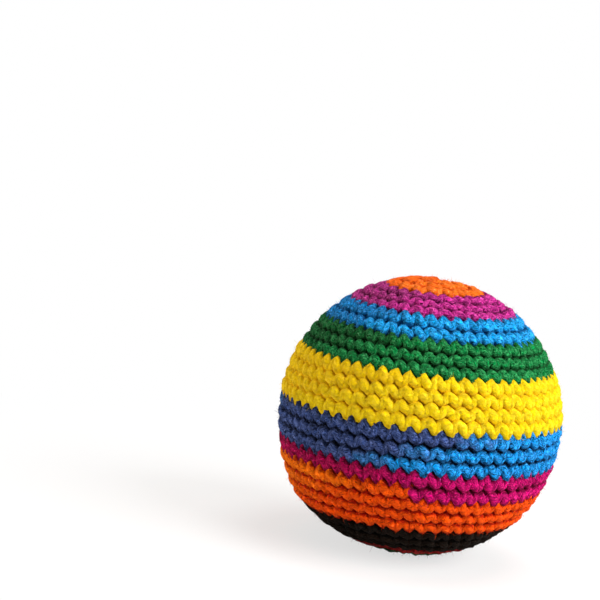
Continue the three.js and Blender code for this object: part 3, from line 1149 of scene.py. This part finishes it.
@dataclass(frozen=True)
class Tied:
    """A trefoil knot of yarn, drawn tight and pressed flat."""

    width: float
    thickness: float
    yarn_radius: float
    rings: int = 48

    def strand(self, centre: np.ndarray, facing: np.ndarray, turn: float) -> Strand:
        """Lay the knot.

        Args:
            centre: Its middle.
            facing: The direction of its short way.
            turn: The turn that its yarn is coloured for.

        Returns:
            The knot as a closed strand.
        """
        t = round_angles(self.rings)[:, None]
        spread = (self.width / 2 - self.yarn_radius) / 3
        rise = self.thickness / 2 - self.yarn_radius
        side = unit(np.cross(facing, (1.0, 0.2, 0.4)))
        other = np.cross(facing, side)
        points = (
            centre
            + spread * (np.sin(t) + 2 * np.sin(2 * t)) * side
            + spread * (np.cos(t) - 2 * np.cos(2 * t)) * other
            - rise * np.sin(3 * t) * facing
        )
        return plain_strand(points, facing, self.yarn_radius, turn, True)


def arc_points(radius: float, height: float, count: int, arc: float = 360) -> np.ndarray:
    """Lay points round the axis, from +X towards +Y, over an arc in degrees."""
    angles = math.radians(arc) * np.arange(count) / (count if arc == 360 else count - 1)
    return np.stack([radius * np.cos(angles), radius * np.sin(angles), np.full(count, height)], -1)


@dataclass
class YarnWork:
    """The yarn inside the cover: the joins between colours, the starting ring and the closing."""

    form: CoverForm
    dressing: Dressing
    sides: int = 8
    thick_sides: int = 10
    join: Tied = Tied(2.4, 0.96, 0.24)
    join_lift: float = 0.17  # how far the knot lies inside the middle of its solid
    join_offset: float = 0.1  # turns further on that its colour is taken from
    hollow_floor: float = 0.36
    ring_radius: float = 2.0
    ring_yarn_radius: float = 0.6
    ring_steps: int = 40
    tail_radius: float = 3.4
    tail_yarn_radius: float = 0.45
    tail_arc: float = 200.0
    tail_steps: int = 36
    tail_taper: float = 0.7
    fray: int = 7
    fray_length: float = 0.9
    fray_yarn_radius: float = 0.09
    fray_sides: int = 5
    fray_steps: int = 4
    fray_spread: tuple[float, float] = (0.2, 0.18)  # from the yarn's middle, and more at the tips
    stem_radius: float = 0.62
    stem_yarn_radius: float = 0.36
    stem_loops: int = 3
    stem_drop: float = 0.7
    stem_steps: int = 9
    # Width at the feet and where the stem starts, as shares of the radius.
    stem_foot: tuple[float, float] = (1.5, 1.1)
    stem_base: float = 1.0
    head_radius: float = 1.62  # of the thread's last turn, under the loops
    head_yarn_radius: float = 0.44
    head_steps: int = 32
    closing_knot: Tied = Tied(3.4, 1.5, 0.42)

    def joins(self) -> list[tuple[str, YarnLength, float]]:
        """List the knots' solids, the length that each starts, and its turn."""
        pairs = zip(self.form.lengths, self.form.lengths[1:], self.form.starts[1:])
        return [
            (f"{a.name}_to_{b.name}_knot".replace("_band", ""), b, float(turn))
            for a, b, turn in pairs
        ]

    def facing(self, centre: np.ndarray) -> np.ndarray:
        """Find the direction out of the ball at a point of the cover."""
        return unit(centre - UP * self.form.widest_height)

    def hollows(self) -> list[Hollow]:
        """List the places where the knots press the fabric."""
        spots = [middle_of(node) for node, _, _ in self.joins()]
        return [Hollow(s, self.facing(s), self.join.width / 2, self.hollow_floor) for s in spots]

    def add_join(self, node: str, length: YarnLength, turn: float) -> bpy.types.Object:
        """Tie the knot between two colours.

        Args:
            node: Its solid.
            length: The length that starts there.
            turn: Where on the spiral it is.

        Returns:
            The knot.
        """
        centre = middle_of(node)
        facing = self.facing(centre)
        middle = centre - self.join_lift * facing
        knot = self.join.strand(middle, facing, turn + self.join_offset)
        name = node.replace("_knot", "_tied_knot")
        return self.dressing.wind(name, node, length.yarn, Body.ROOT, (knot, self.sides))

    def add_ring(self, turn: float) -> bpy.types.Object:
        """Draw the starting ring tight.

        Args:
            turn: The turn that it is coloured for.

        Returns:
            The ring.
        """
        line = arc_points(self.ring_radius, middle_of("start_ring")[2], self.ring_steps)
        ring = plain_strand(line, UP, self.ring_yarn_radius, turn, True), self.thick_sides
        return self.dressing.wind("drawn_ring", "start_ring", Yarn.DARK_GREEN, Body.ROOT, ring)

    def add_tail(self, turn: float) -> bpy.types.Object:
        """Lay the ring's loose end round it, with its tip frayed.

        Args:
            turn: The turn that it is coloured for.

        Returns:
            The loose end.
        """
        count, taper = self.tail_steps, self.tail_taper
        line = arc_points(self.tail_radius, middle_of("start_tail")[2], count, self.tail_arc)
        shares = np.interp(np.arange(count), [0, 1, count - 3, count - 1], [taper, 1, 1, taper])
        tubes = [(plain_strand(line, UP, self.tail_yarn_radius * shares, turn), self.sides)]
        onward = unit(line[-1] - line[-2])
        aside = np.cross(onward, UP)
        steps = np.linspace(0, 1, self.fray_steps)[:, None]
        near, far = self.fray_spread
        for angle in round_angles(self.fray):
            spread = math.cos(angle) * aside + math.sin(angle) * UP
            points = line[-1] + steps * self.fray_length * onward + spread * (near + far * steps)
            thread = plain_strand(points, UP, self.fray_yarn_radius, turn)
            tubes.append((thread, self.fray_sides))
        return self.dressing.wind(
            "ring_loose_end", "start_tail", Yarn.DARK_GREEN, Body.ROOT, *tubes
        )

    def add_gathering(self) -> bpy.types.Object:
        """Gather the last round shut with loops of thread and a turn of it under them.

        Returns:
            The thread.
        """
        low, high = heights_of("closing_thread")
        reach, yarn = self.stem_radius, self.stem_yarn_radius
        ends = [(self.stem_foot[0], low + yarn), (self.stem_foot[1], low + self.stem_base)]
        tubes = []
        for i in range(self.stem_loops):
            angle = math.pi * i / self.stem_loops
            way = np.array([math.cos(angle), math.sin(angle), 0.0])
            top = high - yarn - self.stem_drop * i - reach
            bend = np.linspace(0, math.pi, self.stem_steps)
            over = [way * reach * math.cos(b) + UP * (top + reach * math.sin(b)) for b in bend]
            feet = [way * reach * share + UP * z for share, z in ends]
            back = [way * -reach * share + UP * z for share, z in reversed(ends)]
            line = np.array([*feet, *over, *back])
            tubes.append((plain_strand(line, np.cross(way, UP), yarn, 0.0), self.sides))
        line = arc_points(self.head_radius, low + self.head_yarn_radius, self.head_steps)
        tubes.append((plain_strand(line, UP, self.head_yarn_radius, 0.0, True), self.sides))
        return self.dressing.wind(
            "gathering_thread", "closing_thread", Yarn.ORANGE, Body.CROWN, *tubes
        )

    def add_closing_knot(self) -> bpy.types.Object:
        """Knot the gathering thread inside the cover."""
        knot = self.closing_knot.strand(middle_of("closing_knot"), UP, 0.0), self.thick_sides
        return self.dressing.wind("gathering_knot", "closing_knot", Yarn.ORANGE, Body.CROWN, knot)

    def build(self) -> list[bpy.types.Object]:
        """Make every piece of yarn inside the cover."""
        last = float(self.form.starts[-1])
        joins = [self.add_join(*join) for join in self.joins()]
        start = [self.add_ring(last), self.add_tail(last)]
        return [*joins, *start, self.add_gathering(), self.add_closing_knot()]


@dataclass
class Filling:
    """The stocking liner, the thread that ties its neck, and the stuffing."""

    form: CoverForm
    dressing: Dressing
    clearance: float = 0.3
    wall: float = 0.4
    neck_bore: float = 0.9
    neck_length: float = 3.2
    neck_room: float = 0.12  # what the squeezed neck keeps clear of the closing knot
    base_dimple: float = 4.2
    crown_dimple: float = 2.8
    dimple_flare: float = 0.8
    profile_steps: int = 36
    spin_steps: int = 72
    gathers: int = 14
    gather_depth: float = 0.16
    gather_steps: int = 6  # points of the outline from the dimple to their start
    tie_turns: int = 3
    tie_radius: float = 1.95
    tie_yarn_radius: float = 0.29
    tie_steps: int = 20
    tie_knot: Tied = Tied(1.7, 0.8, 0.2)
    tie_knot_rise: float = 0.25
    tie_end: Point = (0.05, 0.9, -1.3)  # out, aside and up from the knot
    tie_end_bow: float = 0.25
    tie_end_radius: float = 0.16
    tie_sides: int = 8
    tie_end_sides: int = 6
    tie_end_steps: int = 6
    stuffing_inset: float = 0.75
    stuffing_fill: float = 0.9
    clump_size: float = 5.0
    clump_depth: float = 0.6

    def profile(self, inset: float) -> list[tuple[float, float]]:
        """Trace the liner's outside from the middle of the base to the crown's dimple.

        Args:
            inset: How far inside the outside the line runs.

        Returns:
            Distances from the axis and heights.
        """
        depth = self.form.fabric_thickness + self.clearance + inset
        reach = self.form.radius - depth
        first = math.pi - math.asin((self.base_dimple + self.dimple_flare + inset) / reach)
        last = math.asin((self.crown_dimple + self.dimple_flare + inset) / reach)
        base = heights_of("start_ring")[1] + self.clearance + inset
        line = [(0.0, base), (self.base_dimple + inset, base)]
        for polar in np.linspace(first, last, self.profile_steps):
            height = self.form.widest_height + (self.form.crown_rise - depth) * math.cos(polar)
            line.append((reach * math.sin(polar), max(height, depth)))
        knot = heights_of("closing_knot")[0] - self.dressing.travel - self.neck_room
        dimple = knot / self.dressing.share_kept() - self.neck_length
        line.append((self.crown_dimple + inset, dimple - inset))
        return line

    def spun(self, name: str, line: Sequence[tuple[float, float]]) -> bpy.types.Object:
        """Spin a line round the axis.

        Args:
            name: The piece's name.
            line: Distances from the axis and heights.

        Returns:
            The piece, with its faces pointing outwards.
        """
        bpy.ops.object.select_all(action="DESELECT")
        bpy.ops.mesh.primitive_plane_add(size=MM)
        piece = bpy.context.object
        piece.name = name
        piece.data.name = name
        piece.data.clear_geometry()
        corners = [(r * MM, 0.0, z * MM) for r, z in line]
        piece.data.from_pydata(corners, [(i, i + 1) for i in range(len(line) - 1)], [])
        bpy.ops.object.mode_set(mode="EDIT")
        bpy.ops.mesh.select_all(action="SELECT")
        bpy.ops.mesh.spin(
            steps=self.spin_steps, angle=FULL_TURN, center=(0, 0, 0), axis=(0, 0, 1)
        )
        bpy.ops.mesh.select_all(action="SELECT")
        bpy.ops.mesh.remove_doubles(threshold=0.01 * MM)
        bpy.ops.mesh.normals_make_consistent(inside=False)
        bpy.ops.object.mode_set(mode="OBJECT")
        return piece

    def complete(self, piece: bpy.types.Object, finish: Inside, node: str) -> None:
        """Apply a piece's modifiers and give it its material, body and solid.

        Args:
            piece: The piece.
            finish: What it is made of.
            node: The solid that it stands for.
        """
        bpy.ops.object.select_all(action="DESELECT")
        piece.select_set(True)
        bpy.context.view_layer.objects.active = piece
        for modifier in list(piece.modifiers):
            bpy.ops.object.modifier_apply(modifier=modifier.name)
        bpy.ops.object.shade_smooth()
        self.dressing.dress(piece, finish.value.slot, Body.ROOT, node)

    def add_liner(self) -> bpy.types.Object:
        """Stretch the stocking round the stuffing, gathered into a neck.

        Returns:
            The liner.
        """
        line = self.profile(0.0)
        neck, foot = self.neck_bore + self.wall, line[-1][1]
        top = foot + self.neck_length
        line += [(neck, foot), (neck, foot + self.neck_length / 2), (neck, top)]
        liner = self.spun("gathered_stocking", line)
        base = line[self.profile_steps - self.gather_steps][1]
        for vertex in liner.data.vertices:
            x, y, z = vertex.co / MM
            reach = math.hypot(x, y)
            pull = min(max((z - base) / (top - base), 0.0), 1.0) if reach > 0.5 else 0.0
            wave = 1 + math.cos(self.gathers * math.atan2(y, x))
            share = 1 - self.gather_depth * pull * wave / max(reach, 1.0)
            vertex.co.x, vertex.co.y = vertex.co.x * share, vertex.co.y * share
        shell = liner.modifiers.new("wall", "SOLIDIFY")
        shell.thickness = self.wall * MM
        shell.offset = -1
        self.complete(liner, Inside.STOCKING, "stocking_liner")
        return liner

    def add_tie(self) -> bpy.types.Object:
        """Wind the thread round the neck and knot it.

        Returns:
            The tie.
        """
        low, high = heights_of("liner_tie")
        yarn, reach = self.tie_yarn_radius, self.tie_radius
        share = np.linspace(0, 1, self.tie_turns * self.tie_steps)
        angles = FULL_TURN * self.tie_turns * share
        outward = np.stack([np.cos(angles), np.sin(angles), np.zeros(len(share))], -1)
        heights = low + yarn + (high - low - 2 * yarn) * share
        turns = plain_strand(reach * outward + heights[:, None] * UP, outward, yarn, 0.0)
        facing = np.array([1.0, 0.0, 0.0])
        knot = middle_of("liner_tie") + facing * (reach + self.tie_knot_rise)
        tubes = [(turns, self.tie_sides), (self.tie_knot.strand(knot, facing, 0.0), self.tie_sides)]
        steps = np.linspace(0, 1, self.tie_end_steps)[:, None]
        out, aside, up = self.tie_end
        for side in (-1, 1):
            bow = np.sin(steps * 3) * [0, side * self.tie_end_bow, 0]
            end = knot + steps * [out, side * aside, up] + bow
            loose = plain_strand(end, facing, self.tie_end_radius, 0.0)
            tubes.append((loose, self.tie_end_sides))
        return self.dressing.wind("wound_thread", "liner_tie", Yarn.THREAD, Body.ROOT, *tubes)

    def add_stuffing(self) -> bpy.types.Object:
        """Fill the liner with clumps of loose fibre.

        Returns:
            The stuffing.
        """
        line = self.profile(self.stuffing_inset)
        line.append((0.0, line[-1][1]))
        stuffing = self.spun("loose_fibre_filling", line)
        texture = bpy.data.textures.new("clumps", "CLOUDS")
        texture.noise_scale = self.clump_size * MM
        texture.noise_depth = 3
        clumps = stuffing.modifiers.new("clumps", "DISPLACE")
        clumps.texture = texture
        clumps.texture_coords = "LOCAL"
        clumps.strength = self.clump_depth * MM
        clumps.mid_level = 1.0
        self.complete(stuffing, Inside.STUFFING, "stuffing")
        return stuffing

    def build(self) -> list[bpy.types.Object]:
        """Make the liner, its tie and the stuffing."""
        return [self.add_stuffing(), self.add_liner(), self.add_tie()]


@dataclass(frozen=True)
class Lamp:
    """A soft round lamp that points at the ball."""

    name: str
    place: Point
    size: float
    power: float
    colour: Point = (1.0, 1.0, 1.0)

    def build(self, target: Vector) -> None:
        """Hang the lamp.

        Args:
            target: The point that it is aimed at.
        """
        data = bpy.data.lights.new(self.name, "AREA")
        data.shape = "DISK"
        data.size = self.size
        data.energy = self.power
        data.color = self.colour
        made = bpy.data.objects.new(self.name, data)
        made.location = self.place
        made.rotation_euler = (target - Vector(self.place)).to_track_quat("-Z", "Y").to_euler()
        bpy.context.scene.collection.objects.link(made)


@dataclass(frozen=True)
class Studio:
    """The camera, the pale floor and the soft light."""

    image: int = 600
    centre_at: tuple[int, int] = (420, 415)
    lens: float = 102.0
    sensor: float = 36.0
    distance: float = 0.342
    elevation: float = 10.0
    roll: float = 8.4
    floor_radius: float = 4.0
    floor_grey: float = 0.55
    floor_pale: float = 0.95
    # White that the camera sees near the ball, and more far off.
    clear: tuple[float, float] = (0.65, 0.35)
    clear_from: tuple[float, float] = (0.03, 0.14)  # metres between which it is added
    lamps: tuple[Lamp, ...] = (
        Lamp("key_lamp", (0.64, -0.28, 0.4), 0.7, 9.2),
        Lamp("fill_lamp", (-0.8, -0.36, 0.16), 0.5, 2.7, (1.0, 0.88, 0.74)),
        Lamp("top_lamp", (0.15, 0.05, 0.8), 0.4, 2.2),
        Lamp("edge_lamp", (-0.72, 0.42, 0.2), 0.5, 2.4, (0.94, 0.97, 1.0)),
    )
    fill: float = 0.34
    fill_colour: Rgba = (1.0, 0.86, 0.74, 1.0)

    def add_camera(self, target: Vector) -> None:
        """Place the camera where the photograph was taken from.

        Args:
            target: The middle of the ball.
        """
        tilt = math.radians(self.elevation)
        away = Vector((0, -math.cos(tilt), math.sin(tilt)))
        facing = (-away).to_track_quat("-Z", "Y").to_matrix()
        rolled = facing @ Matrix.Rotation(math.radians(self.roll), 3, "Z")
        pixels = self.lens / self.sensor * self.image
        half = self.image / 2
        seen = Vector((self.centre_at[0] - half, half - self.centre_at[1], -pixels))
        panned = rolled @ seen.rotation_difference(Vector((0, 0, -1))).to_matrix()
        data = bpy.data.cameras.new("camera")
        data.lens = self.lens
        data.sensor_width = self.sensor
        camera = bpy.data.objects.new("camera", data)
        camera.matrix_world = Matrix.LocRotScale(target + away * self.distance, panned, None)
        bpy.context.scene.collection.objects.link(camera)
        bpy.context.scene.camera = camera

    def add_floor(self) -> None:
        """Lay the floor, white to the camera with the ball's soft shadow."""
        bpy.ops.object.select_all(action="DESELECT")
        bpy.ops.mesh.primitive_circle_add(
            vertices=96, radius=self.floor_radius, fill_type="NGON", location=(0, 0, 0)
        )
        floor = bpy.context.object
        floor.name = "floor"
        shader = Shader.material("pale_floor")
        camera = shader.node("ShaderNodeLightPath", output="Is Camera Ray")
        grey, pale = ((*[level] * 3, 1.0) for level in (self.floor_grey, self.floor_pale))
        diffuse = shader.node("ShaderNodeBsdfDiffuse", {"Color": shader.mix(camera, grey, pale)})
        white = shader.node("ShaderNodeEmission", {"Color": WHITE})
        place = {0: shader.place()}
        away = shader.node("ShaderNodeVectorMath", place, "Value", operation="LENGTH")
        near, far = self.clear
        share = camera * (near + far * away.step(*self.clear_from))
        both = shader.node("ShaderNodeMixShader", {0: share, 1: diffuse, 2: white})
        floor.data.materials.append(shader.close(both))

    def add_world(self) -> None:
        """Light the scene softly from all round, and show white behind it."""
        world = bpy.data.worlds.new("studio")
        bpy.context.scene.world = world
        shader = Shader(world)
        seen = shader.node("ShaderNodeLightPath", output="Is Camera Ray")
        strength = seen + (1 - seen) * self.fill
        colour = shader.mix(seen, self.fill_colour, WHITE)
        background = shader.node("ShaderNodeBackground", {"Color": colour, "Strength": strength})
        shader.add("ShaderNodeOutputWorld", {"Surface": background})

    def build(self, middle: float) -> None:
        """Set the studio up round a ball whose middle is this high."""
        bpy.context.scene.view_settings.view_transform = "Standard"
        target = Vector((0, 0, middle * MM))
        self.add_camera(target)
        self.add_floor()
        self.add_world()
        for lamp in self.lamps:
            lamp.build(target)


def write_sizes() -> None:
    """Bring the scene's transforms up to date."""
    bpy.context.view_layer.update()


def main() -> None:
    """Build the studio and every part of the ball, in order."""
    logging.basicConfig(level=logging.INFO, format="%(message)s")
    form = CoverForm()
    Studio().build(form.widest_height)
    finishes = [member.value for member in (*Yarn, *Inside)]
    dressing = Dressing({finish.slot: finish.build() for finish in finishes})
    inside = YarnWork(form, dressing)
    pieces = Filling(form, dressing).build()
    pieces += inside.build()
    for length, start, end in zip(form.lengths, form.starts, form.starts[1:]):
        cover = CoverLength(form, length, float(start), float(end), inside.hollows())
        pieces += cover.build(dressing)
    for piece in pieces:
        LOG.info("%s: %d faces", piece.name, len(piece.data.polygons))
    write_sizes()


if __name__ == "__main__":
    main()
